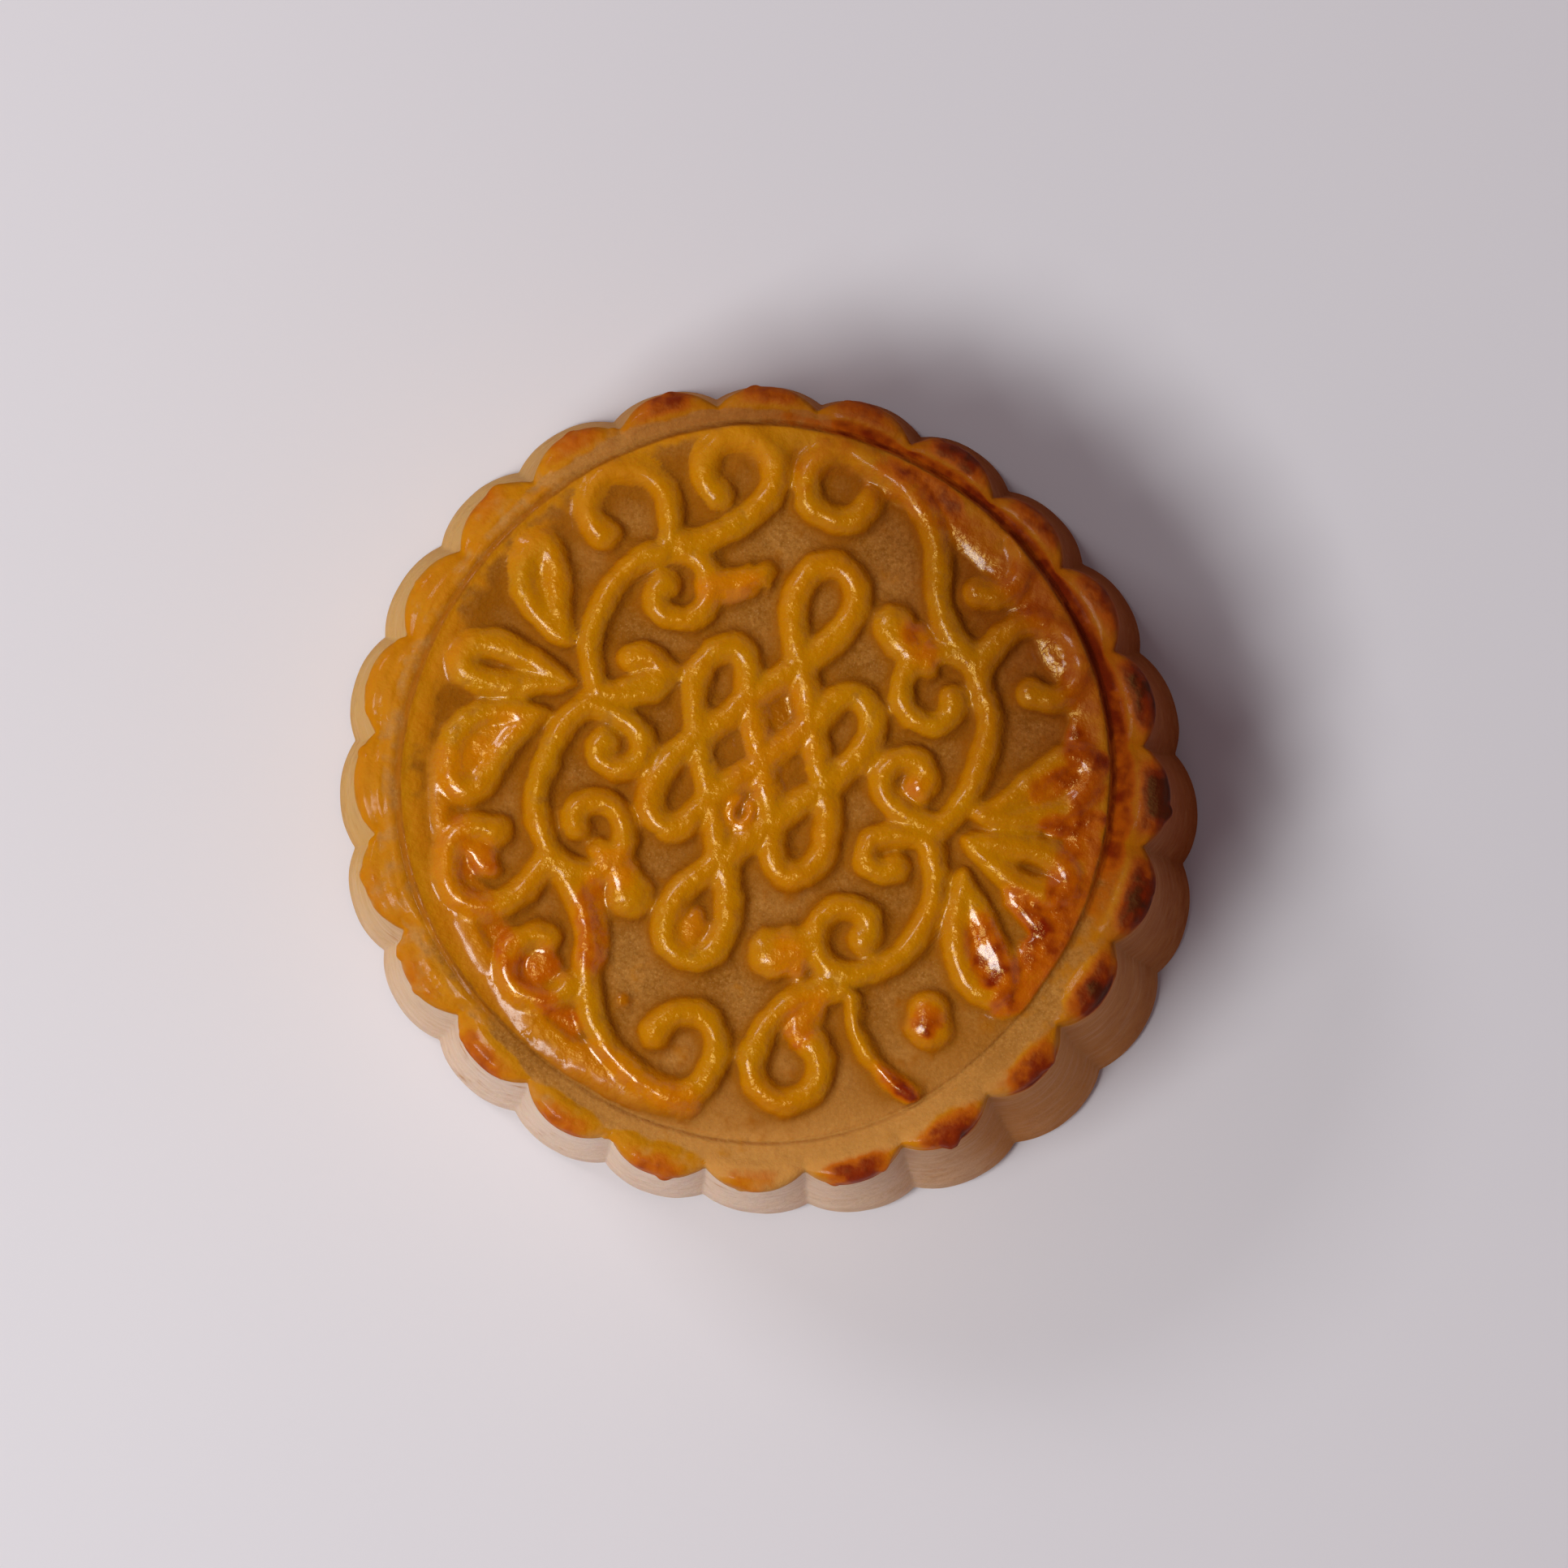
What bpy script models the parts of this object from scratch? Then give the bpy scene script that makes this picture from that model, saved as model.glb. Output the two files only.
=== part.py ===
# A baked Cantonese mooncake from a round plunger mould: a fluted cake with a slumped foot, a rim of
# 24 lobes, a grooved border and an ornament of leaf scrolls, petal fans and an endless knot in relief.
# Frame: origin at the centre of the bounding box's underside, +Z up, the knot's long axis along Y and
# the two petal fans on the X axis. Lengths are metres; tables of the ornament are millimetres.

import math

import bmesh
import bpy
from mathutils import Vector

MM = 0.001

# cake
HEIGHT = 29.0 * MM              # table to the top of the ornament
RELIEF = 1.35 * MM              # height of the ornament over its ground
RIM_RADIUS = 32.1 * MM          # mean radius at the tips of the rim's lobes
FOOT_RADIUS = 35.2 * MM         # mean radius at the tips of the slumped foot
FLUTE_DEPTH = 1.5 * MM          # valley between two lobes
LOBES = 24
LOBE_PHASE = 6.0                # degrees, from +X to the middle of the first lobe
STEPS_PER_LOBE = 6
FOOT_EDGE = 0.9 * MM            # bevel between wall and underside
FOOT_SLUMP = 2.2                # the higher, the lower down the wall starts to spread
WALL_RINGS = (0.35, 0.64, 0.87) # shares of the height at which the wall has a ring

# top, outside in, as radius and depth under the top of the ornament
LIP = (31.0 * MM, 0.9 * MM)
BAND = (30.1 * MM, 1.5 * MM)
GROOVE = (28.6 * MM, 2.3 * MM)
BORDER_OUTER = (27.9 * MM, 1.0 * MM)
BORDER_CREST = (27.0 * MM, 0.5 * MM)
BORDER_INNER = (25.6 * MM, RELIEF)
BORDER_FADE = 0.6 * MM          # how far the border sinks at its plain stretch
PLAIN_ANGLE = -68.0             # degrees, direction of the plain stretch

# where the ornament sits, millimetres
ORNAMENT_SHIFT = (-0.4, 1.7)    # ornament centre from the cake's axis
TURN_CENTRE = (-0.2, 0.1)       # the lower half is the upper one turned half round this point
LOWER_PULL = 0.068              # the lower half's inner scrolls lie a little closer to the middle,
LOWER_REACH = 0.00018           # and its outer ones reach a little further, per square millimetre
LONGEST_STEP = 5.0              # spacing of sections along a straight bead
WIDEST_TURN = 50.0              # degrees a bead turns between two sections
FINE_CUTS = 12                  # points of the smooth line between two given ones
END_REACH = 0.75                # a bead's end runs this many half widths past its last point
END_WIDTH = 0.55                # and narrows to this share of its width
LEVEL_STEP = 0.007              # each bead lies a hair lower than the last, so that no faces coincide

COLOUR = (0.50, 0.21, 0.018, 1.0)
ROUGHNESS = 0.38


def harmonic_sum(angle, terms):
    return sum(size * math.cos(count * (angle - math.radians(phase))) for count, size, phase in terms)


# unevenness of a hand-pressed, baked cake: (waves round the cake, millimetres, degrees)
RIM_WAVES = ((1, 0.2, 170), (2, 0.28, -10), (4, 0.35, 24))
FOOT_WAVES = ((1, 0.5, -70), (2, 1.0, -13), (3, 0.4, -21))


CURL_STEP = 30.0                # degrees between the points of a curl


def curl(centre, start_radius, end_radius, start_angle, end_angle, tightness=1.0):
    """Points of a spiral whose radius shrinks towards its end; a higher tightness shrinks it later."""
    count = max(4, round(abs(end_angle - start_angle) / CURL_STEP))
    points = []
    for i in range(count + 1):
        t = i / count
        radius = start_radius + (end_radius - start_radius) * t ** tightness
        angle = math.radians(start_angle + (end_angle - start_angle) * t)
        points.append((centre[0] + radius * math.cos(angle), centre[1] + radius * math.sin(angle)))
    return points


# the upper half's scrolls: half width, then the route of the middle line
UPPER_SCROLLS = {
    "left_stem": (0.95, [(-14.6, 0.6), (-16.4, 3.6), (-16.8, 7.4), (-15.8, 11.0)]
                  + curl((-12.0, 10.6), 3.0, 0.8, 130, -175, 3.5)),
    "left_bud": (0.95, [(-14.6, 0.6), (-12.8, 1.0)] + curl((-11.8, 3.4), 1.6, 1.3, -60, 150)),
    "left_leaf": (1.1, [(-9.6, 11.9), (-7.6, 12.7), (-6.0, 14.1)]),
    "left_hook": (1.0, [(-13.0, 14.2), (-10.9, 15.3), (-8.9, 17.6)]
                  + curl((-10.9, 21.1), 3.3, 2.4, -30, 255)),
    "left_tendril": (1.0, [(-13.7, 14.2)] + curl((-18.3, 14.7), 4.0, 2.3, 18, 255)),
    "right_stem": (0.95, [(14.6, 0.6), (15.7, 3.4), (15.9, 7.0), (15.2, 10.4)]
                   + curl((10.8, 10.8), 3.2, 1.1, 42, 350, 5.0)),
    "right_bud": (0.95, [(14.6, 0.6), (12.6, 0.6)] + curl((11.2, 3.1), 2.15, 0.9, 250, 5, 5.0)),
    "right_leaf": (1.3, [(8.6, 12.6), (6.9, 13.0), (5.4, 14.2)]),
    "right_sweep": (1.0, [(13.0, 13.8), (10.4, 14.9), (8.0, 17.4), (6.4, 20.9), (4.4, 23.4), (1.6, 25.1)]
                    + curl((-2.7, 23.0), 3.0, 2.6, 82, 350)),
    "right_tendril": (1.0, [(13.0, 14.4)] + curl((17.6, 15.6), 4.1, 2.2, 170, -90)),
    "right_drop": (1.0, curl((10.6, 21.7), 2.8, 2.5, 60, -90)),
}
# the lower half is the same pattern turned half round, except where the dough came out differently
LOWER_OWN = {
    "left_leaf": (1.4, [(8.8, -11.6), (7.6, -12.4), (6.3, -13.5)]),
    "left_hook": (1.0, [(12.6, -14.0), (9.8, -15.7), (8.2, -18.6)]
                  + curl((10.8, -22.0), 3.2, 3.0, 172, 415)),
    "left_tendril": (0.85, [(13.5, -14.5), (14.4, -16.5), (16.4, -18.3), (18.5, -19.3), (20.4, -19.8)]),
    "right_leaf": (1.4, [(-9.0, -11.4), (-7.4, -12.1), (-6.1, -13.4)]),
    "right_drop": (1.0, curl((-10.7, -21.2), 2.3, 3.0, 92, 345)),
}
BUTTONS = [((19.6, -14.0), 2.2)]      # lone round studs: centre, radius
BUTTON_FLATNESS = 0.6

# petals of the two fans: tip, end, sideways bow of the middle line, greatest half width
PETALS = [
    ((-17.6, 2.9), (-23.3, 11.1), 1.9, 2.0),
    ((-16.4, 0.1), (-27.0, -0.6), 0.0, 2.6),
    ((-17.2, -2.0), (-23.2, -11.6), -1.6, 2.2),
    ((17.0, 2.6), (22.7, 11.8), -1.3, 1.8),
    ((16.6, 0.3), (26.4, 0.6), 0.0, 1.8),
    ((17.6, -2.2), (23.4, -11.4), 1.3, 2.0),
]
PETAL_RIM = 0.8
PETAL_POINTS = 14
TEARDROP_POINT = 1.5            # the higher, the longer the petal's pointed tip
TEARDROP_SCALE = 1.42           # makes the widest place of that teardrop 1

# endless knot
KNOT_CENTRE = (-0.4, 0.3)
KNOT_STEP = (2.7, 4.25)               # from one crossing to the next
KNOT_BAND = 0.95                      # half width of a strand
SIDE_LOOP = [(2.7, 4.25), (3.9, 6.9), (5.3, 7.7), (6.8, 6.6), (7.3, 4.6), (6.6, 2.2), (5.4, 0.0)]
END_LOOP = [(-0.7, 7.4), (1.5, 10.8), (2.4, 13.4), (1.8, 15.8), (0.0, 16.7)]


def clear_scene():
    for item in list(bpy.data.objects):
        bpy.data.objects.remove(item, do_unlink=True)


def new_collection(name, hidden=False):
    collection = bpy.data.collections.new(name)
    bpy.context.scene.collection.children.link(collection)
    collection.hide_render = hidden
    return collection


def crust_material():
    material = bpy.data.materials.new("baked_crust")
    material.use_nodes = True
    shader = material.node_tree.nodes["Principled BSDF"]
    shader.inputs["Base Color"].default_value = COLOUR
    shader.inputs["Roughness"].default_value = ROUGHNESS
    shader.inputs["Metallic"].default_value = 0.0
    return material


def spline_point(a, b, c, d, t):
    """The Catmull-Rom curve from b to c, at a share t of the way."""
    square = 2 * a - 5 * b + 4 * c - d
    cube = 3 * b - a - 3 * c + d
    return 0.5 * (2 * b + (c - a) * t + square * t ** 2 + cube * t ** 3)


def on_cake(place):
    """A place of the ornament, in metres from the cake's axis."""
    return ((place[0] + ORNAMENT_SHIFT[0]) * MM, (place[1] + ORNAMENT_SHIFT[1]) * MM)


def smooth_route(route):
    """A smooth line through the route, cut more finely where it turns."""
    corners = [Vector(place) for place in route]
    padded = corners[:1] + corners + corners[-1:]
    fine = []
    for i in range(len(corners) - 1):
        fine += [spline_point(*padded[i:i + 4], k / FINE_CUTS) for k in range(FINE_CUTS)]
    fine.append(corners[-1])
    effort = [0.0]
    heading = fine[1] - fine[0]
    for before, after in zip(fine, fine[1:]):
        turn = math.degrees(heading.angle(after - before, 0.0))
        heading = after - before
        effort.append(effort[-1] + heading.length / LONGEST_STEP + turn / WIDEST_TURN)
    pieces = max(2, round(effort[-1]))
    cuts = []
    at = 0
    for i in range(pieces + 1):
        goal = effort[-1] * i / pieces
        while at < len(effort) - 2 and effort[at + 1] < goal:
            at += 1
        share = (goal - effort[at]) / max(effort[at + 1] - effort[at], 1e-9)
        cuts.append(fine[at].lerp(fine[at + 1], share))
    return cuts


def bead_sections(points, half_width):
    """(point, half width, axis height) along a bead, with a low, narrow section past each end."""
    first = points[0] + (points[0] - points[1]).normalized() * half_width * END_REACH
    last = points[-1] + (points[-1] - points[-2]).normalized() * half_width * END_REACH
    narrow = (half_width * END_WIDTH, HEIGHT - RELIEF)
    sections = [(point, half_width, HEIGHT - half_width * MM) for point in points]
    return [(first, *narrow)] + sections + [(last, *narrow)]


def bead(name, route, half_width, helpers):
    """A round bead along a route on the ground of the ornament, as a closed mesh."""
    sections = bead_sections(smooth_route(route), half_width)
    data = bpy.data.curves.new(name + "_curve", "CURVE")
    data.dimensions = "3D"
    data.bevel_depth = MM
    data.bevel_resolution = 1
    data.use_fill_caps = True
    spline = data.splines.new("POLY")
    spline.points.add(len(sections) - 1)
    drop = LEVEL_STEP * len(helpers.objects) * MM
    for point, (place, radius, axis) in zip(spline.points, sections):
        point.co = (*on_cake(place), axis - drop, 1.0)
        point.radius = radius
    curve = bpy.data.objects.new(name + "_curve", data)
    bpy.context.scene.collection.objects.link(curve)
    curve_to_mesh(name, curve, helpers)


def curve_to_mesh(name, curve, helpers):
    """The curve's tube as a mesh object among the helpers, its caps welded on."""
    graph = bpy.context.evaluated_depsgraph_get()
    mesh = bpy.data.meshes.new_from_object(curve.evaluated_get(graph))
    work = bmesh.new()
    work.from_mesh(mesh)
    bmesh.ops.remove_doubles(work, verts=work.verts, dist=0.000001)
    bmesh.ops.recalc_face_normals(work, faces=work.faces)
    work.to_mesh(mesh)
    work.free()
    tube = bpy.data.objects.new(name, mesh)
    tube.matrix_world = curve.matrix_world
    bpy.data.objects.remove(curve, do_unlink=True)
    as_helper(tube, helpers)


def as_helper(item, helpers):
    helpers.objects.link(item)
    item.hide_render = True
    item.display_type = "WIRE"


def half_turned(route):
    """The route turned half round into the lower half, which came out a little uneven."""
    turned = []
    for x, y in route:
        x, y = 2 * TURN_CENTRE[0] - x, 2 * TURN_CENTRE[1] - y
        turned.append((x, y * (1 - LOWER_PULL + LOWER_REACH * y * y)))
    return turned


def scroll_beads(helpers):
    for name, (half_width, route) in UPPER_SCROLLS.items():
        bead("upper_" + name, route, half_width, helpers)
        own_width, own_route = LOWER_OWN.get(name, (half_width, half_turned(route)))
        bead("lower_" + name, own_route, own_width, helpers)


def petal_outline(tip, end, bow, half_width):
    """A teardrop, once round from its pointed tip over its round end, its middle line bowed sideways."""
    tip, end = Vector(tip), Vector(end)
    along = end - tip
    across = Vector((-along.y, along.x)).normalized()
    points = []
    for i in range(PETAL_POINTS + 1):
        angle = math.tau * i / PETAL_POINTS
        reach = (1 - math.cos(angle)) / 2
        width = half_width * TEARDROP_SCALE * math.sin(angle) * abs(math.sin(angle / 2)) ** TEARDROP_POINT
        points.append(tip + along * reach + across * (bow * math.sin(math.pi * reach) + width))
    return points


def petal_beads(helpers):
    for index, (tip, end, bow, half_width) in enumerate(PETALS):
        bead(f"petal_{index}", petal_outline(tip, end, bow, half_width), PETAL_RIM, helpers)


def knot_crossing(i, j):
    return (KNOT_CENTRE[0] + (i - j) * KNOT_STEP[0], KNOT_CENTRE[1] + (i + j) * KNOT_STEP[1])


def knot_beads(helpers):
    for row in (-1, 0, 1):
        bead(f"strand_rising_{row + 1}", [knot_crossing(i, row) for i in (-1, 0, 1)], KNOT_BAND, helpers)
        bead(f"strand_falling_{row + 1}", [knot_crossing(row, j) for j in (-1, 0, 1)], KNOT_BAND, helpers)
    for sx in (-1, 1):
        for sy in (-1, 1):
            loop = [(KNOT_CENTRE[0] + sx * x, KNOT_CENTRE[1] + sy * y) for x, y in SIDE_LOOP]
            bead(f"side_loop_{sx + 1}{sy + 1}", loop, KNOT_BAND, helpers)
    for sy in (-1, 1):
        half = [(KNOT_CENTRE[0] + x, KNOT_CENTRE[1] + sy * y) for x, y in END_LOOP]
        other = [(2 * KNOT_CENTRE[0] - x, y) for x, y in half[-2::-1]]
        bead(f"end_loop_{sy + 1}", half + other, KNOT_BAND, helpers)


def buttons(helpers):
    for index, (centre, radius) in enumerate(BUTTONS):
        work = bmesh.new()
        bmesh.ops.create_uvsphere(work, u_segments=12, v_segments=6, radius=radius * MM)
        for vert in work.verts:
            vert.co.z *= BUTTON_FLATNESS
        mesh = bpy.data.meshes.new(f"button_{index}")
        work.to_mesh(mesh)
        work.free()
        button = bpy.data.objects.new(f"button_{index}", mesh)
        button.location = (*on_cake(centre), HEIGHT - RELIEF)
        as_helper(button, helpers)


def wall_rings():
    """(radius, height) down the outer side, from the lip to the underside's edge."""
    rings = [(RIM_RADIUS - 0.4 * MM, HEIGHT - 1.1 * MM), (RIM_RADIUS, HEIGHT - 1.8 * MM)]
    for share in WALL_RINGS:
        spread = (FOOT_RADIUS - RIM_RADIUS) * share ** FOOT_SLUMP
        rings.append((RIM_RADIUS + spread, HEIGHT * (1 - share)))
    return rings + [(FOOT_RADIUS, FOOT_EDGE), (FOOT_RADIUS - FOOT_EDGE, 0.0)]


def turned_profile():
    tops = [(radius, HEIGHT - depth) for radius, depth in
            (BORDER_INNER, BORDER_CREST, BORDER_OUTER, GROOVE, BAND, LIP)]
    return tops + wall_rings()


def scallop(angle):
    """How far the outline steps in at this angle: 0 at a lobe's tip, 1 in a valley."""
    pitch = math.tau / LOBES
    part = ((angle - math.radians(LOBE_PHASE)) / pitch + 0.5) % 1.0 - 0.5
    return (2 * part) ** 2


def share_between(value, low, high):
    return min(1.0, max(0.0, (value - low) / (high - low)))


def press_lobes(mesh):
    """Turns the round body into the fluted, slightly uneven one, and lets the border fade on one side."""
    for vert in mesh.vertices:
        x, y, z = vert.co
        radius = math.hypot(x, y)
        angle = math.atan2(y, x)
        depth = (HEIGHT - z) / HEIGHT
        waves = harmonic_sum(angle, RIM_WAVES) * (1 - depth) + harmonic_sum(angle, FOOT_WAVES) * depth
        waves *= MM * share_between(radius, GROOVE[0], LIP[0])
        flute = FLUTE_DEPTH * scallop(angle) * share_between(radius, BAND[0], RIM_RADIUS)
        grown = (radius + waves - flute) / radius
        vert.co.x, vert.co.y = x * grown, y * grown
        if BORDER_INNER[0] + 0.5 * MM < radius < GROOVE[0] - 0.5 * MM:
            vert.co.z -= BORDER_FADE * max(0.0, math.cos(angle - math.radians(PLAIN_ANGLE))) ** 2


def cake_body():
    profile = turned_profile()
    mesh = bpy.data.meshes.new("profile")
    points = [(radius, 0.0, height) for radius, height in profile]
    mesh.from_pydata(points, [(i, i + 1) for i in range(len(points) - 1)], [])
    body = bpy.data.objects.new("profile", mesh)
    bpy.context.scene.collection.objects.link(body)
    body.rotation_euler.z = math.radians(LOBE_PHASE)
    screw = body.modifiers.new("turn", "SCREW")
    screw.steps = LOBES * STEPS_PER_LOBE
    screw.render_steps = screw.steps
    screw.use_merge_vertices = True
    screw.merge_threshold = 0.00001
    graph = bpy.context.evaluated_depsgraph_get()
    turned = bpy.data.meshes.new_from_object(body.evaluated_get(graph))
    turned.transform(body.matrix_world)
    bpy.data.objects.remove(body, do_unlink=True)
    press_lobes(turned)
    work = bmesh.new()
    work.from_mesh(turned)
    bmesh.ops.holes_fill(work, edges=[edge for edge in work.edges if edge.is_boundary])
    bmesh.ops.recalc_face_normals(work, faces=work.faces)
    work.to_mesh(turned)
    work.free()
    return turned


def join_ornament(cake, helpers):
    union = cake.modifiers.new("ornament", "BOOLEAN")
    union.operation = "UNION"
    union.solver = "EXACT"
    union.operand_type = "COLLECTION"
    union.collection = helpers
    union.use_self = True


def shift_to_centre(cake):
    """The move that brings the middle of the cake's box over the origin."""
    low = [min(vert.co[k] for vert in cake.data.vertices) for k in (0, 1)]
    high = [max(vert.co[k] for vert in cake.data.vertices) for k in (0, 1)]
    return Vector((-(low[0] + high[0]) / 2, -(low[1] + high[1]) / 2, 0.0))


def build():
    clear_scene()
    parts = new_collection("mooncake")
    helpers = new_collection("ornament_helpers", hidden=True)
    cake = bpy.data.objects.new("mooncake", cake_body())
    parts.objects.link(cake)
    scroll_beads(helpers)
    petal_beads(helpers)
    knot_beads(helpers)
    buttons(helpers)
    shift = shift_to_centre(cake)
    cake.location = shift
    for helper in helpers.objects:
        helper.location += shift
    join_ornament(cake, helpers)
    cake.data.materials.append(crust_material())
    cake.data.shade_smooth()
    cake.data.set_sharp_from_angle(angle=math.radians(35))


build()
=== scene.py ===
import functools
import math

import bpy
from mathutils import Matrix, Vector


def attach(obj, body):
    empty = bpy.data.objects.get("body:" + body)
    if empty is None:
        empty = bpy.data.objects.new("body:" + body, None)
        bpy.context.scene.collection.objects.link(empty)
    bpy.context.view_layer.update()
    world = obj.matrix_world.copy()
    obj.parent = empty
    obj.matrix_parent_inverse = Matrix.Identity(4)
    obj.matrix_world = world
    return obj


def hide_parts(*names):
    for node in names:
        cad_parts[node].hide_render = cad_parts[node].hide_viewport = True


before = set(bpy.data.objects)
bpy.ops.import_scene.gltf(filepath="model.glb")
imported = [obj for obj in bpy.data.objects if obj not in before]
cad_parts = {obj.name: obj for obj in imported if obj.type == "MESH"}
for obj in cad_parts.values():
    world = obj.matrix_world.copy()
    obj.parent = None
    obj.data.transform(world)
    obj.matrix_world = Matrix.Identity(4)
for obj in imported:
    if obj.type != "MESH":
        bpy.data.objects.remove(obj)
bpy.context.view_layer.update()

mm = 0.001

# short names for the nodes used most, each with its usual settings
nodeKinds = {
    "noise": ("ShaderNodeTexNoise", {}),
    "range": ("ShaderNodeMapRange", {}),
    "smoothRange": ("ShaderNodeMapRange", {"interpolation_type": "SMOOTHSTEP"}),
    "mix": ("ShaderNodeMix", {}),
    "mixColour": ("ShaderNodeMix", {"data_type": "RGBA"}),
    "vector": ("ShaderNodeVectorMath", {}),
    "separate": ("ShaderNodeSeparateXYZ", {}),
    "combine": ("ShaderNodeCombineXYZ", {}),
    "position": ("GeometryNodeInputPosition", {}),
    "objectInfo": ("GeometryNodeObjectInfo", {}),
    "named": ("GeometryNodeInputNamedAttribute", {"data_type": "FLOAT"}),
    "store": ("GeometryNodeStoreNamedAttribute", {"data_type": "FLOAT", "domain": "POINT"}),
    "blur": ("GeometryNodeBlurAttribute", {"data_type": "FLOAT"}),
}
operations = {
    "plus": "ADD", "minus": "SUBTRACT", "times": "MULTIPLY", "over": "DIVIDE", "timesPlus": "MULTIPLY_ADD",
    "larger": "MAXIMUM", "absolute": "ABSOLUTE", "power": "POWER", "rounded": "ROUND", "floored": "FLOOR",
    "modulo": "FLOORED_MODULO", "radians": "RADIANS", "cosine": "COSINE", "sine": "SINE", "near": "COMPARE",
    "above": "GREATER_THAN", "below": "LESS_THAN",
}
nodeKinds.update({name: ("ShaderNodeMath", {"operation": code}) for name, code in operations.items()})


def socketOf(sockets, key):
    # a socket by its place, or the one in use with that name
    if isinstance(key, int):
        return sockets[key]
    return next(socket for socket in sockets if socket.enabled and socket.name == key)


def addNode(tree, kind, inputs=(), output=None, **settings):
    # adds a node and returns one of its outputs; an input is linked if it is given a socket
    nodeType, usual = nodeKinds.get(kind, (kind, {}))
    node = tree.nodes.new(nodeType)
    for name, value in {**usual, **settings}.items():
        setattr(node, name, value)
    pairs = inputs.items() if isinstance(inputs, dict) else enumerate(inputs)
    for key, value in pairs:
        socket = socketOf(node.inputs, key)
        if isinstance(value, bpy.types.NodeSocket):
            tree.links.new(value, socket)
        else:
            socket.default_value = value
    if output is None:
        return next((socket for socket in node.outputs if socket.enabled), None)
    return socketOf(node.outputs, output)


# the cake's form

form = {
    "height": 29.0,             # millimetres, table to the top of the ornament
    "relief": 1.35,             # height of the ornament over its ground
    "rimRadius": 32.1,          # at the tips of the rim's lobes
    "footRadius": 35.4,         # at the tips of the slumped foot
    "fluteDepth": 1.6,          # valley between two lobes
    "footFlute": 0.66,          # share of that depth that is left at the foot
    "lobes": 24,
    "lobePhase": 6.0,           # degrees, from +X to the middle of the first lobe
    "footSlump": 2.2,           # the higher, the lower down the wall starts to spread
    "footEdge": 0.9,            # rounding between wall and underside
    "axisPlace": (-0.315, 0.085),       # the cake's axis in the frame
    "ornamentPlace": (-0.4, 1.7),       # the ornament's middle from the axis
    "turnPlace": (-0.2, 0.1),   # the lower half is the upper one turned half round this point
    "lowerPull": 0.068,         # and its inner scrolls lie closer to the middle by this share
    "lowerReach": 0.00018,      # its outer ones reach further, per square millimetre
    "plainAngle": -62.0,        # degrees, where the border sinks into the band
    "borderFade": 0.8,
    "washedAngle": 195.0,       # degrees, where the brush also touched the band
    "bakedAngle": 55.0,         # degrees, the other side where some wash ran on the band
    "bareAngle": 144.0,         # degrees, where the brush missed the slope of the border
    "bandLift": 0.62,           # millimetres that the band stands higher on that side
    "rimWaves": ((1, 0.2, 170), (2, 0.28, -10), (4, 0.35, 24)),     # waves round, millimetres, degrees
    "grooveWaves": ((1, 0.67, 139), (2, 0.15, -72), (3, 0.15, -45), (4, 0.23, 29)),
    "footWaves": ((1, 0.5, 1), (2, 1.1, -7), (3, 0.37, -12)),
    "lobeUnevenness": 0.22,     # millimetres that one lobe may differ from the next
    "notchPower": 2.3,          # the higher, the narrower the valleys between lobes
    "capSink": 0.5,             # millimetres that a cap sinks towards its valleys
    "wobble": (380.0, 0.15),    # of the strokes' edges: bumps to the metre and their millimetres
    "dents": (240.0, 0.25),     # of the whole crust, likewise
    "burrs": (430.0, 0.4),      # that the mould pinched out of the rim, likewise
    "seed": 5,
}

# the cross-section of the cake, from the middle of the top outwards and down to the underside:
# radius, depth under the top, rings of faces since the last point, share of the flutes, share of the caps
crossSection = [
    (0.0, 1.35, 0, 0.0, 0.0),
    (23.4, 1.35, 94, 0.0, 0.0),
    (24.4, 1.27, 4, 0.0, 0.0),
    (25.6, 0.96, 5, 0.0, 0.0),
    (26.8, 0.62, 5, 0.0, 0.0),
    (27.8, 0.46, 4, 0.0, 0.0),
    (28.12, 0.62, 3, 0.0, 0.0),
    (28.4, 1.04, 3, 0.0, 0.0),
    (28.64, 1.36, 1, 0.0, 0.0),
    (28.84, 1.33, 2, 0.0, 0.0),
    (29.2, 1.28, 2, 0.08, 0.05),
    (29.6, 1.18, 2, 0.18, 0.3),
    (29.95, 0.97, 2, 0.28, 0.7),
    (30.4, 0.86, 2, 0.42, 0.95),
    (31.1, 0.8, 2, 0.66, 1.0),
    (31.6, 0.98, 3, 0.85, 0.8),
    (31.95, 1.4, 3, 0.97, 0.45),
    (32.1, 2.15, 2, 1.0, 0.3),
]
wallRings = 13
footRings = 4

# millimetres over which one zone passes into the next: radii, and from the underside on, heights
zones = {
    "borderWaves": (22.5, 27.6),    # the waves of the groove grow outwards
    "border": (25.0, 27.5),
    "dullBorder": (25.6, 26.8),     # it shines less than the ornament
    "borderSlope": (27.0, 28.0),
    "raisedBand": (27.9, 28.4),
    "band": (28.0, 28.3),
    "offTop": (28.0, 28.35),        # no stroke reaches further
    "groove": (28.2, 28.6),
    "rim": (28.6, 31.0),
    "caps": (29.0, 30.0),
    "bandEnd": (29.3, 30.6),
    "rimEdge": (31.4, 31.9),
    "underside": (0.5, 0.1),
    "foot": (0.3, 1.6),
    "tanWall": (19.0, 6.0),
    "burredRim": (26.6, 27.2),
    "washedRim": (26.6, 27.3),
    "bareWall": (27.6, 26.6),
    "shinyTop": (27.7, 28.05),
    "strokeFoot": (0.3, 0.75),      # height over the ground
}


def between(zone):
    return [edge * mm for edge in zones[zone]]


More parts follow.
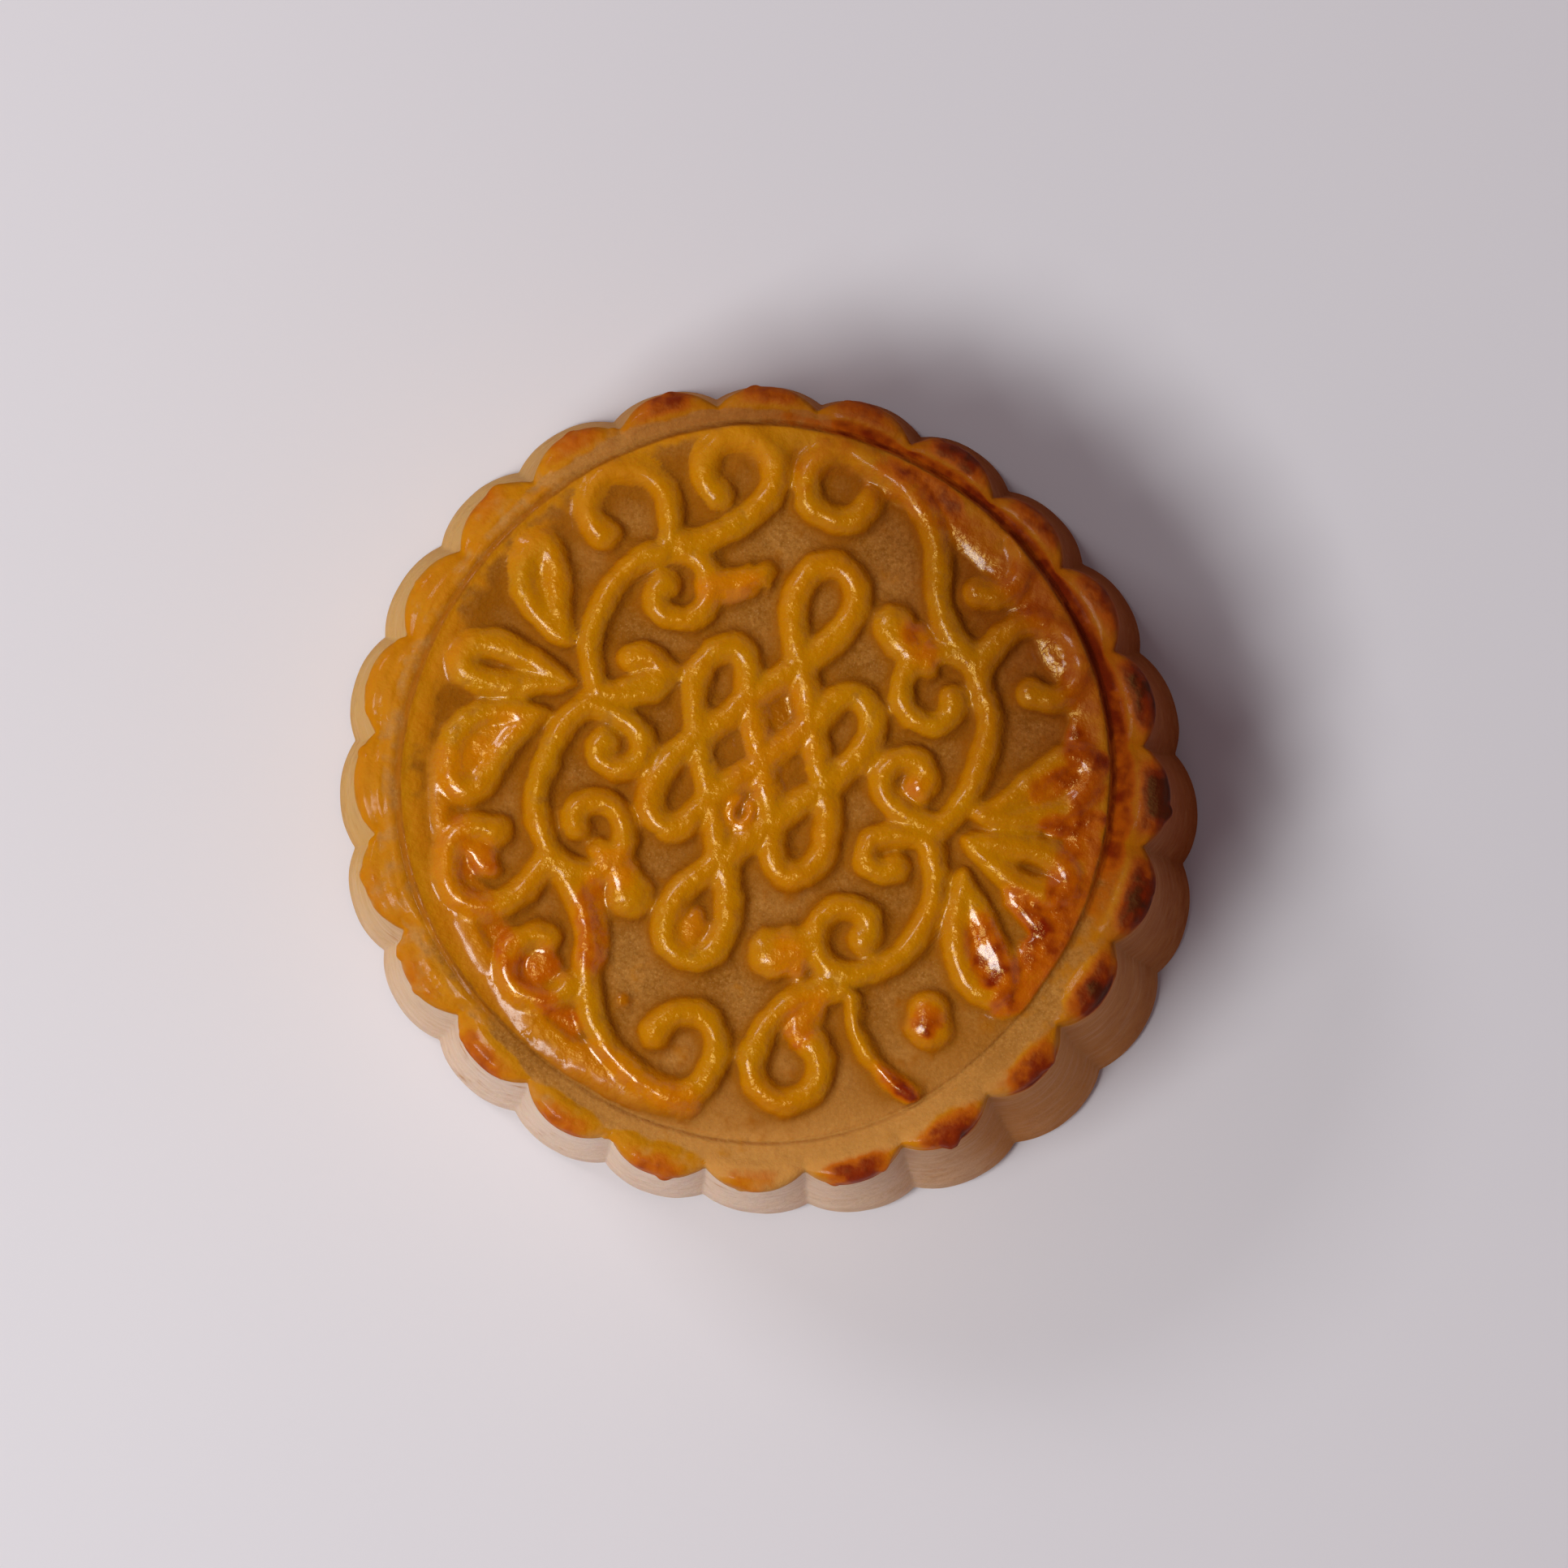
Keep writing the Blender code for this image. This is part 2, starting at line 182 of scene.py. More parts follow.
def hermitePoint(before, start, end, after, t):
    # the smooth curve from start to end at a share t of the way
    values = []
    for a, b, c, d in zip(before, start, end, after):
        values.append(0.5 * (2 * b + (c - a) * t + (2 * a - 5 * b + 4 * c - d) * t ** 2
                             + (3 * b - a - 3 * c + d) * t ** 3))
    return values


def profileRings():
    # (radius, height, flute share, cap share) of each ring of the cake's grid, in millimetres
    rings = [(0.0, form["height"] - form["relief"], 0.0, 0.0)]
    flat = crossSection[1]
    rings += [(flat[0] * i / flat[2], form["height"] - flat[1], 0.0, 0.0) for i in range(1, flat[2] + 1)]
    points = [(radius, depth, flute, cap) for radius, depth, count, flute, cap in crossSection]
    points[0] = (flat[0] - 1.0, flat[1], 0.0, 0.0)      # keeps the curve level where it leaves the flat
    for i in range(2, len(crossSection)):
        after = points[min(i + 1, len(points) - 1)]
        for step in range(1, crossSection[i][2] + 1):
            t = step / crossSection[i][2]
            radius, depth, flute, cap = hermitePoint(points[i - 2], points[i - 1], points[i], after, t)
            rings.append((radius, form["height"] - depth, max(0.0, flute), max(0.0, cap)))
    top = rings[-1][1]
    edge = form["footEdge"]
    for i in range(1, wallRings + 1):
        z = top + (edge - top) * i / wallRings
        share = 1 - z / form["height"]
        spread = (form["footRadius"] - form["rimRadius"]) * share ** form["footSlump"]
        rings.append((form["rimRadius"] + spread, z, 1 - (1 - form["footFlute"]) * share, 0.0))
    middle = rings[-1][0] - edge
    for i in range(1, footRings + 1):
        turn = math.pi / 2 * i / footRings
        rings.append((middle + edge * math.cos(turn), edge * (1 - math.sin(turn)), form["footFlute"], 0.0))
    return rings


def placed(name, data):
    # a new object with that data, linked to the scene
    thing = bpy.data.objects.new(name, data)
    bpy.context.scene.collection.objects.link(thing)
    return thing


def guideMesh(name, points, edges, **values):
    # a hidden mesh that Geometry Nodes read, with one number for each point under each name
    mesh = bpy.data.meshes.new(name)
    mesh.from_pydata(points, edges, [])
    for key, numbers in values.items():
        mesh.attributes.new(key, "FLOAT", "POINT").data.foreach_set("value", numbers)
    guide = placed(name, mesh)
    guide.hide_render = True
    return guide


def profileGuide():
    rings = profileRings()
    points = [(radius * mm, 0.0, z * mm) for radius, z, flute, cap in rings]
    return guideMesh("profileGuide", points, [], flute=[ring[2] for ring in rings],
                     cap=[ring[3] for ring in rings])


def lobeGuide():
    points = [(0.0, 0.0, 0.0)] * len(lobeBake)
    return guideMesh("lobeGuide", points, [], wash=[bake[0] for bake in lobeBake],
                     browning=[bake[1] for bake in lobeBake])


# the ornament

def curl(centre, startRadius, endRadius, startAngle, endAngle, tightness=1.0):
    # points of a spiral whose radius shrinks towards its end; a higher tightness shrinks it later
    count = max(4, round(abs(endAngle - startAngle) / 30))
    points = []
    for i in range(count + 1):
        t = i / count
        radius = startRadius + (endRadius - startRadius) * t ** tightness
        angle = math.radians(startAngle + (endAngle - startAngle) * t)
        points.append((centre[0] + radius * math.cos(angle), centre[1] + radius * math.sin(angle)))
    return points


def arc(radius, startAngle, endAngle):
    # an arc round the cake's axis, as places of the ornament
    count = max(2, round(abs(endAngle - startAngle) / 8))
    points = []
    for i in range(count + 1):
        angle = math.radians(startAngle + (endAngle - startAngle) * i / count)
        points.append((radius * math.cos(angle) - form["ornamentPlace"][0],
                       radius * math.sin(angle) - form["ornamentPlace"][1]))
    return points


# half width and route of each stroke, in millimetres
scrolls = {
    "leftStem": (0.95, [(-14.6, 0.6), (-16.4, 3.6), (-16.8, 7.4), (-15.8, 11.0)]
                 + curl((-12.0, 10.6), 3.0, 0.8, 130, -175, 3.5)),
    "leftBud": (0.95, [(-14.6, 0.6), (-12.8, 1.0)] + curl((-11.8, 3.4), 1.6, 1.3, -60, 150)),
    "leftLeaf": (1.1, [(-9.6, 11.9), (-7.6, 12.7), (-6.0, 14.1)]),
    "leftHook": (1.0, [(-13.0, 14.2), (-10.9, 15.3), (-8.9, 17.6)]
                 + curl((-10.9, 21.1), 3.3, 2.4, -30, 255)),
    "leftTendril": (1.0, [(-13.7, 14.2)] + curl((-18.3, 14.7), 4.0, 2.3, 18, 255)),
    "rightStem": (0.95, [(14.6, 0.6), (15.7, 3.4), (15.9, 7.0), (15.2, 10.4)]
                  + curl((10.8, 10.8), 3.2, 1.1, 42, 350, 5.0)),
    "rightBud": (0.95, [(14.6, 0.6), (12.6, 0.6)] + curl((11.2, 3.1), 2.15, 0.9, 250, 5, 5.0)),
    "rightLeaf": (1.3, [(8.6, 12.6), (6.9, 13.0), (5.4, 14.2)]),
    "rightSweep": (1.0, [(13.0, 13.8), (10.4, 14.9), (8.0, 17.4), (6.4, 20.9), (4.4, 23.4), (1.6, 25.1)]
                   + curl((-2.7, 23.0), 3.0, 2.6, 82, 350)),
    "rightTendril": (1.0, [(13.0, 14.4)] + curl((17.6, 15.6), 4.1, 2.2, 170, -90)),
    "rightDrop": (1.0, curl((10.6, 21.7), 2.8, 2.5, 60, -90)),
}
# strokes without a partner in the other half
ownScrolls = {
    "budTip": (0.85, [(-12.6, 1.9), (-11.4, 2.8), (-10.1, 4.0)]),
    "leafTip": (0.75, [(-7.4, 12.6), (-6.5, 13.5), (-5.8, 14.4)]),
    "button": (1.35, [(19.3, -13.0), (19.8, -14.2)]),
}
# where the lower half came out differently
lowerScrolls = {
    "leftLeaf": (1.6, [(8.8, -11.6), (7.6, -12.4), (6.3, -13.5)]),
    "leftHook": (1.0, [(12.6, -14.0), (9.8, -15.6), (8.1, -18.2)]
                 + curl((10.6, -21.4), 2.9, 2.6, 172, 425)),
    "leftTendril": (0.7, [(13.5, -14.5), (14.4, -16.5), (16.4, -18.3), (18.5, -19.3), (20.4, -19.8)]),
    "rightLeaf": (1.4, [(-9.0, -11.4), (-7.4, -12.1), (-6.1, -13.4)]),
    "rightDrop": (1.0, curl((-10.7, -21.2), 2.3, 3.0, 92, 345)),
}
# the fans' petals: tip, end, sideways bow of the middle line, greatest half width
petals = [
    ((-18.2, 3.3), (-23.4, 9.7), 0.8, 1.4),
    ((-16.9, 0.5), (-25.6, -0.8), 0.0, 1.5),
    ((-17.8, -2.5), (-22.2, -10.4), -1.5, 2.0),
    ((17.2, 2.7), (24.0, 10.0), -0.9, 1.7),
    ((17.0, 0.6), (26.0, 0.4), 0.0, 1.6),
    ((17.9, -2.0), (23.8, -9.9), -0.6, 1.55),
]
# how full each family of strokes is: the lower, the flatter on top
strokeFullness = {"Scrolls": 0.66, "Knot": 0.64, "Petals": 0.52, "Pools": 0.55}
petalRim = 1.52                 # half width of the petals' raised rims, which leave a slit between them
petalPoint = 0.62               # share by which the rims thin towards the petal's point
ridgeSpread = 1.4               # how much a ridge's foot spreads past the stroke of the mould
budSwell = 0.18                 # share by which a scroll's end is thicker
knot = {
    "centre": (-0.4, 0.3),
    "step": (2.7, 4.25),        # from one crossing to the next
    "band": 1.04,               # half width of a strand
    "sideLoop": [(2.7, 4.25), (3.9, 6.9), (5.3, 7.7), (6.8, 6.6), (7.3, 4.6), (6.6, 2.2), (5.4, 0.0)],
    "endLoop": [(-0.7, 7.4), (1.5, 10.8), (2.4, 13.4), (1.8, 15.8), (0.0, 16.7)],
}
# egg wash that ran together, and dough that filled the mould's corners:
# half width, height, browning at the start and at the end, route
pools = {
    "rightBudFill": (1.6, 0.95, 0.3, 0.3, [(11.3, 3.0), (11.5, 2.8), (11.7, 2.6)]),
    "rightLeafFill": (1.6, 0.9, 0.35, 0.45, [(9.0, 13.0), (7.6, 13.9), (6.4, 14.5)]),
    "leftLeafFill": (1.5, 0.95, 0.1, 0.3, [(-10.0, 11.2), (-8.4, 11.8), (-7.0, 12.7), (-6.3, 13.6)]),
    "knotEndFill": (1.7, 0.85, 0.2, 0.25, [(-0.6, -13.0), (-0.5, -14.1), (-0.4, -15.2)]),
    "knotBubble": (0.8, 1.1, 0.15, 0.15, curl((-0.4, -3.95), 0.85, 0.85, 0, 360)),
    "knotCore": (4.0, 0.42, 0.12, 0.12, [(-0.4, -4.6), (-0.4, 0.3), (-0.4, 5.2)]),
    "lowerLeafFill": (1.9, 1.1, 0.1, 0.25, [(-8.8, -11.6), (-7.9, -12.0), (-7.0, -12.4)]),
    "stemFill": (1.7, 0.8, 0.35, 0.5, [(-9.4, -13.4), (-8.2, -16.6), (-6.6, -19.8)]),
    "curlFill": (2.0, 0.75, 0.4, 0.5, [(-10.6, -20.2), (-10.5, -21.2), (-10.4, -22.2)]),
    "leftPetalFill": (1.7, 0.95, 0.0, 0.1, [(-20.0, -4.0), (-21.4, -6.2), (-22.4, -9.0)]),
    "leftFanFill": (1.2, 0.45, 0.1, 0.15, arc(27.2, 150, 212)),
    "lowerLeftFill": (2.5, 0.8, 0.1, 0.25, arc(25.6, 196, 279)),
    "lowerLeftStain": (2.2, 0.5, 0.36, 0.58, arc(24.4, 208, 254)),
    "sweepStain": (2.0, 0.4, 0.7, 0.85, [(-0.6, 25.6), (2.6, 25.2), (6.6, 24.4)]),
    "topCurlStain": (2.6, 0.1, 0.3, 0.3, [(-5.6, 22.0), (-4.6, 25.0), (-1.0, 25.4), (0.2, 22.4)]),
    "tendrilFill": (1.9, 0.95, 0.25, 0.45, [(-19.7, -14.5), (-18.5, -15.1), (-17.2, -15.5)]),
    "hookFill": (1.8, 1.05, 0.25, 0.5, [(10.9, -15.6), (10.2, -17.4), (10.6, -19.2)]),
    "lowerRightLeafFill": (1.7, 1.0, 0.25, 0.3, [(6.6, -12.4), (7.4, -13.2), (8.4, -14.0)]),
    "buttonStain": (1.7, 0.6, 0.5, 0.7, [(19.0, -13.0), (19.5, -13.8), (19.9, -14.6)]),
    "tailTip": (0.95, 1.0, 0.3, 1.2, [(17.0, -18.6), (18.8, -19.3), (21.0, -20.0)]),
    "petalFill": (2.0, 1.05, 0.5, 0.85, [(20.6, -5.0), (21.9, -7.0), (22.8, -8.8)]),
    "rightFanFill": (2.5, 0.85, 0.56, 0.62, arc(25.8, -20, 32)),
    "upperRightFill": (2.1, 0.75, 0.42, 0.35, arc(26.4, 30, 92)),
    "slitStain": (1.3, 1.0, 0.65, 0.9, [(22.4, 4.0), (24.6, 5.0), (26.4, 6.2)]),
    "lowSlitStain": (1.5, 1.0, 0.4, 0.95, [(21.8, -1.9), (24.0, -2.8), (25.9, -3.8)]),
    "upperPetalFill": (1.7, 1.0, 0.45, 0.8, [(20.8, 6.0), (23.0, 8.4), (24.9, 10.6)]),
    "dewDrop": (0.8, 0.5, 0.05, 0.05, [(-3.5, -21.0), (-3.6, -21.4), (-3.7, -21.8)]),
}
poolPoint = 0.45                # share by which a pool narrows towards its ends
guideStep = 0.25                # millimetres between the points of a guide

# how each lobe of the rim came out of the oven, anticlockwise from the first one:
# share of its cap under egg wash, and browning
lobeBake = [
    (1.0, 1.3), (1.0, 1.4), (1.0, 1.25), (1.0, 0.8), (1.0, 0.75), (1.0, 1.15),
    (0.95, 0.6), (0.95, 0.65), (0.9, 0.65), (0.95, 0.5), (1.0, 0.35), (1.0, 0.25),
    (1.0, 0.1), (1.0, 0.15), (0.85, 0.3), (1.0, 0.35), (1.1, 0.6), (1.05, 0.6),
    (1.15, 0.6), (0.55, 0.45), (0.75, 0.95), (0.85, 1.0), (0.85, 0.95), (0.95, 1.05),
]


def halfTurned(route):
    # the route turned half round into the lower half, which came out a little uneven
    turned = []
    for x, y in route:
        x, y = 2 * form["turnPlace"][0] - x, 2 * form["turnPlace"][1] - y
        turned.append((x, y * (1 - form["lowerPull"] + form["lowerReach"] * y * y)))
    return turned


def petalRoute(tip, end, bow, halfWidth):
    # a teardrop, once round from its pointed tip over its round end, its middle line bowed sideways
    tip, end = Vector(tip), Vector(end)
    along = end - tip
    across = Vector((-along.y, along.x)).normalized()
    points = []
    for i in range(25):
        angle = math.tau * i / 24
        reach = (1 - math.cos(angle)) / 2
        width = halfWidth * 1.42 * math.sin(angle) * abs(math.sin(angle / 2)) ** 1.5    # 1.42: widest is 1
        points.append(tip + along * reach + across * (bow * math.sin(math.pi * reach) + width))
    return points


def knotStrokes():
    cx, cy = knot["centre"]
    dx, dy = knot["step"]
    routes = []
    for row in (-1, 0, 1):
        routes.append([(cx + (i - row) * dx, cy + (i + row) * dy) for i in (-1, 0, 1)])
        routes.append([(cx + (row - j) * dx, cy + (row + j) * dy) for j in (-1, 0, 1)])
    for sx in (-1, 1):
        for sy in (-1, 1):
            routes.append([(cx + sx * x, cy + sy * y) for x, y in knot["sideLoop"]])
    for sy in (-1, 1):
        half = [(cx + x, cy + sy * y) for x, y in knot["endLoop"]]
        routes.append(half + [(2 * cx - x, y) for x, y in half[-2::-1]])
    return [(knot["band"], route) for route in routes]


def scrollStrokes():
    strokes = []
    for name, (halfWidth, route) in scrolls.items():
        strokes.append((halfWidth, route))
        strokes.append(lowerScrolls.get(name, (halfWidth, halfTurned(route))))
    return strokes + list(ownScrolls.values())


def finePoints(route):
    # the smooth line through the route, with points at an even short spacing
    corners = [tuple(place) for place in route]
    padded = corners[:1] + corners + corners[-1:]
    fine = []
    for i in range(len(corners) - 1):
        length = math.dist(corners[i], corners[i + 1])
        count = max(2, math.ceil(length / guideStep))
        fine += [hermitePoint(*padded[i:i + 4], k / count) for k in range(count)]
    return fine + [list(corners[-1])]


def strokeGuide(name, strokes, swell=0.0, taper=0.0):
    # one guide mesh for a family of strokes: (half width, height, browning at start and end, route)
    points, edges, halfWidths, crests, browns = [], [], [], [], []
    shiftX = form["axisPlace"][0] + form["ornamentPlace"][0]
    shiftY = form["axisPlace"][1] + form["ornamentPlace"][1]
    for halfWidth, crest, startBrown, endBrown, route in strokes:
        line = finePoints(route)
        first = len(points)
        points += [((x + shiftX) * mm, (y + shiftY) * mm, 0.0) for x, y in line]
        edges += [(first + i, first + i + 1) for i in range(len(line) - 1)]
        for i in range(len(line)):
            nearEnd = max(0.0, 1 - (len(line) - 1 - i) * guideStep / 1.2)
            t = i / (len(line) - 1)
            full = math.sqrt(4 * t * (1 - t))
            halfWidths.append(halfWidth * mm * (1 + swell * nearEnd) * (1 - taper * (1 - full)))
        crests += [crest * mm] * len(line)
        browns += [startBrown + (endBrown - startBrown) * i / (len(line) - 1) for i in range(len(line))]
    return guideMesh(name, points, edges, halfWidth=halfWidths, crest=crests, browning=browns)


def familyGuides():
    relief = form["relief"]
    scrollFamily = [(width * ridgeSpread, relief, 0.0, 0.0, route) for width, route in scrollStrokes()]
    knotFamily = [(width * ridgeSpread, relief * 0.94, 0.0, 0.0, route) for width, route in knotStrokes()]
    petalFamily = [(petalRim, relief * 0.97, 0.0, 0.0, petalRoute(*petal)) for petal in petals]
    return {
        "Scrolls": strokeGuide("scrollGuide", scrollFamily, budSwell),
        "Knot": strokeGuide("knotGuide", knotFamily),
        "Petals": strokeGuide("petalGuide", petalFamily, 0.0, petalPoint),
        "Pools": strokeGuide("poolGuide", list(pools.values()), 0.0, poolPoint),
    }


# the tree that presses the cake

def sampledValue(add, geometry, index, name, kind="FLOAT"):
    # a named value of the guide's point with that index; its position if no name is given
    if name:
        field = add("named", {"Name": name})
    else:
        field = add("position")
    return add("GeometryNodeSampleIndex", {"Geometry": geometry, "Value": field, "Index": index},
               data_type=kind, domain="POINT")


def waveSum(add, angle, waves):
    # waves round the cake added up, each with its number, size and phase
    total = 0.0
    for count, size, phase in waves:
        turned = add("timesPlus", [angle, float(count), -count * math.radians(phase)])
        swing = add("cosine", [turned])
        total = add("timesPlus", [swing, size * mm, total])
    return total


def facingSide(add, angle, degrees):
    # 1 on the side of the cake at those degrees, -1 on the opposite one
    turned = add("plus", [angle, math.radians(-degrees)])
    return add("cosine", [turned])


def strokeHeight(add, guide, flat, wobble, fullness):
    # height and browning that one family of strokes gives to each point of the top
    geometry = add("objectInfo", {"Object": guide}, output="Geometry")
    away = add("GeometryNodeProximity", {"Geometry": geometry, "Sample Position": flat},
               output="Distance", target_element="EDGES")
    near = add("GeometryNodeSampleNearest", {"Geometry": geometry, "Sample Position": flat})
    names = ("halfWidth", "crest", "browning")
    halfWidth, crest, brown = [sampledValue(add, geometry, near, name) for name in names]
    uneven = add("plus", [away, wobble])
    share = add("over", [uneven, halfWidth])
    square = add("times", [share, share])
    inside = add("minus", [1.0, square], use_clamp=True)
    rounded = add("power", [inside, fullness])
    height = add("times", [crest, rounded])
    soft = add("smoothRange", [inside, 0.0, 0.7, 0.0, 1.0])
    burnt = add("times", [brown, soft])
    return height, burnt


def discGrid(add, rings):
    # a square grid whose square rings become the rings of a disc, with each point's ring and angle
    sides = add("timesPlus", [rings, 2.0, 1.0])
    sizes = {"Size X": 2.0, "Size Y": 2.0, "Vertices X": sides, "Vertices Y": sides}
    grid = add("GeometryNodeMeshGrid", sizes)
    place = add("position")
    x = add("separate", [place], output="X")
    y = x.node.outputs["Y"]
    wide = add("absolute", [x])
    deep = add("absolute", [y])
    reach = add("larger", [wide, deep])
    ring = add("times", [reach, rings])
    ring = add("rounded", [ring])
    sideways = add("near", [wide, deep, 0.00001])
    wider = add("above", [wide, deep])
    sideways = add("larger", [sideways, wider])
    slopeX = add("over", [y, x])
    slopeY = add("over", [x, y])
    backX = add("below", [x, 0.0])
    backY = add("below", [y, 0.0])
    backX = add("times", [backX, math.pi])
    backY = add("timesPlus", [backY, math.pi, math.pi / 2])
    angleX = add("timesPlus", [slopeX, math.pi / 4, backX])
    angleY = add("timesPlus", [slopeY, -math.pi / 4, backY])
    angle = add("mix", {"Factor": sideways, "A": angleY, "B": angleX})
    return grid, ring, angle


def closedBelow(add, cake):
    # an underside that closes the outermost ring
    edgeFaces = add("GeometryNodeInputMeshEdgeNeighbors")
    openEdges = add("below", [edgeFaces, 1.5])
    outline = add("GeometryNodeMeshToCurve", {"Mesh": cake, "Selection": openEdges})
    underside = add("GeometryNodeFillCurve", {"Curve": outline}, mode="TRIANGLES")
    underside = add("GeometryNodeFlipFaces", {"Mesh": underside})
    whole = add("GeometryNodeJoinGeometry", {"Geometry": underside})
    cake.node.id_data.links.new(cake, whole.node.inputs["Geometry"])
    whole = add("GeometryNodeMergeByDistance", {"Geometry": whole, "Distance": 0.00001})
    whole = add("GeometryNodeSetShadeSmooth", {"Geometry": whole})
    return add("GeometryNodeRealizeInstances", {"Geometry": whole})


def cakeTree(crust):
    tree = bpy.data.node_groups.new("pressedCake", "GeometryNodeTree")
    tree.interface.new_socket("Geometry", in_out="OUTPUT", socket_type="NodeSocketGeometry")
    sockets = {
        "NodeSocketObject": ("Profile", "Lobe Bake", "Scrolls", "Knot", "Petals", "Pools"),
        "NodeSocketInt": ("Rings", "Lobes", "Seed"),
        "NodeSocketFloat": ("Lobe Phase", "Flute Depth", "Lobe Unevenness", "Height", "Relief"),
    }
    for kind, names in sockets.items():
        for name in names:
            tree.interface.new_socket(name, in_out="INPUT", socket_type=kind)
    given = tree.nodes.new("NodeGroupInput").outputs
    add = functools.partial(addNode, tree)

    grid, ring, angle = discGrid(add, given["Rings"])

    # the cross-section, ring by ring
    profile = add("objectInfo", {"Object": given["Profile"]}, output="Geometry")
    section = sampledValue(add, profile, ring, None, "FLOAT_VECTOR")
    radius = add("separate", [section], output="X")
    level = radius.node.outputs["Z"]
    flute = sampledValue(add, profile, ring, "flute")
    cap = sampledValue(add, profile, ring, "cap")

    # scalloped lobes, each a little its own size
    pitch = add("over", [math.tau, given["Lobes"]])
    phase = add("radians", [given["Lobe Phase"]])
    turned = add("minus", [angle, phase])
    for kind, number in (("over", pitch), ("plus", 0.5), ("modulo", given["Lobes"])):
        turned = add(kind, [turned, number])
    lobe = add("floored", [turned])
    part = add("minus", [turned, lobe])
    part = add("timesPlus", [part, 2.0, -1.0])
    notch = add("absolute", [part])
    notch = add("power", [notch, form["notchPower"]])       # 0 at a tip, 1 in a valley
    middle = add("minus", [1.0, notch])
    luck = add("FunctionNodeRandomValue", {"Min": -1.0, "Max": 1.0, "ID": lobe, "Seed": given["Seed"]})
    ownSize = add("times", [luck, given["Lobe Unevenness"]])
    ownSize = add("times", [ownSize, middle])
    stepIn = add("times", [given["Flute Depth"], notch])
    stepIn = add("minus", [ownSize, stepIn])
    stepIn = add("times", [stepIn, flute])

    # waves round the rim and the foot
    depth = add("over", [level, given["Height"]])
    depth = add("minus", [1.0, depth])
    rimWave = waveSum(add, angle, form["rimWaves"])
    footWave = waveSum(add, angle, form["footWaves"])
    wave = add("mix", {"Factor": depth, "A": rimWave, "B": footWave})
    ringRadius = radius
    outer = add("range", [ringRadius, *between("rim"), 0.0, 1.0])
    grooveWave = waveSum(add, angle, form["grooveWaves"])
    inner = add("smoothRange", [ringRadius, *between("borderWaves"), 0.0, 1.0])
    grooveWave = add("times", [grooveWave, inner])
    wave = add("mix", {"Factor": outer, "A": grooveWave, "B": wave})
    radius = add("plus", [radius, stepIn])
    radius = add("plus", [radius, wave])

    # caps sink towards the valleys, the band lies higher on the washed side, and the border
    # sinks at its plain stretch
    sink = add("times", [cap, notch])
    level = add("timesPlus", [sink, -form["capSink"] * mm, level])
    facing = facingSide(add, angle, form["washedAngle"])
    lift = add("smoothRange", [facing, 0.3, 0.8, 0.0, form["bandLift"] * mm])
    upBand = add("range", [ringRadius, *between("raisedBand"), 0.0, 1.0])
    downBand = add("range", [ringRadius, *between("bandEnd"), 1.0, 0.0])
    lift = add("times", [lift, upBand])
    level = add("timesPlus", [lift, downBand, level])
    plain = facingSide(add, angle, form["plainAngle"])
    plain = add("larger", [plain, 0.0])
    plain = add("times", [plain, plain])
    onBorder = add("range", [ringRadius, *between("border"), 0.0, 1.0])
    offBorder = add("range", [ringRadius, *between("groove"), 1.0, -0.8])
    onBorder = add("times", [onBorder, offBorder])
    fade = add("times", [plain, onBorder])
    level = add("timesPlus", [fade, -form["borderFade"] * mm, level])

    cosine = add("cosine", [angle])
    sine = add("sine", [angle])
    formX = add("timesPlus", [radius, cosine, form["axisPlace"][0] * mm])
    formY = add("timesPlus", [radius, sine, form["axisPlace"][1] * mm])
    formed = add("combine", [formX, formY, level])

    # egg wash and browning of each lobe's cap, and a thin wash on the band of the left side
    bake = add("objectInfo", {"Object": given["Lobe Bake"]}, output="Geometry")
    lobeWash = sampledValue(add, bake, lobe, "wash")
    lobeBrown = sampledValue(add, bake, lobe, "browning")
    washEdge = add("timesPlus", [lobeWash, -0.95, 0.95])
    washEdge = add("timesPlus", [notch, 0.5, washEdge])
    washFull = add("plus", [washEdge, 0.25])
    capWash = add("smoothRange", [flute, washEdge, washFull, 0.0, 1.0])
    onCap = add("range", [cap, 0.05, 0.35, 0.0, 1.0])
    capWash = add("times", [capWash, onCap])
    outside = add("smoothRange", [flute, 0.15, 0.6, 0.1, 1.0])
    spot = add("power", [middle, 1.7])
    capBrown = outside
    for share in (spot, lobeBrown, onCap):
        capBrown = add("times", [capBrown, share])
    bandWash = add("smoothRange", [facing, 0.4, 0.9, 0.0, 0.66])
    baked = facingSide(add, angle, form["bakedAngle"])
    baked = add("smoothRange", [baked, 0.4, 0.85, 0.0, 0.9])
    bandWash = add("larger", [bandWash, baked])
    missed = facingSide(add, angle, form["bareAngle"])
    missed = add("smoothRange", [missed, 0.8, 0.92, 0.0, 1.0])
    lowSlope = add("range", [ringRadius, *between("borderSlope"), 1.0, 0.25])
    missed = add("times", [missed, lowSlope])
    onBand = add("range", [ringRadius, *between("band"), 0.0, 1.0])
    offWall = add("range", [level, *between("washedRim"), 0.0, 1.0])
    onBand = add("times", [onBand, offWall])
    bandWash = add("times", [bandWash, onBand])
    offCap = add("range", [cap, 0.1, 0.8, 1.0, 0.25])
    bandBrown = baked
    for share in (onBand, offCap, 0.9):
        bandBrown = add("times", [bandBrown, share])
    capBrown = add("larger", [capBrown, bandBrown])
    capWash = add("larger", [capWash, bandWash])

    cake = grid
    kept = {"capWash": capWash, "capBrown": capBrown, "ringRadius": ringRadius, "missed": missed}
    for name, value in kept.items():
        cake = add("store", {"Geometry": cake, "Name": name, "Value": value})
    cake = add("GeometryNodeSetPosition", {"Geometry": cake, "Position": formed})

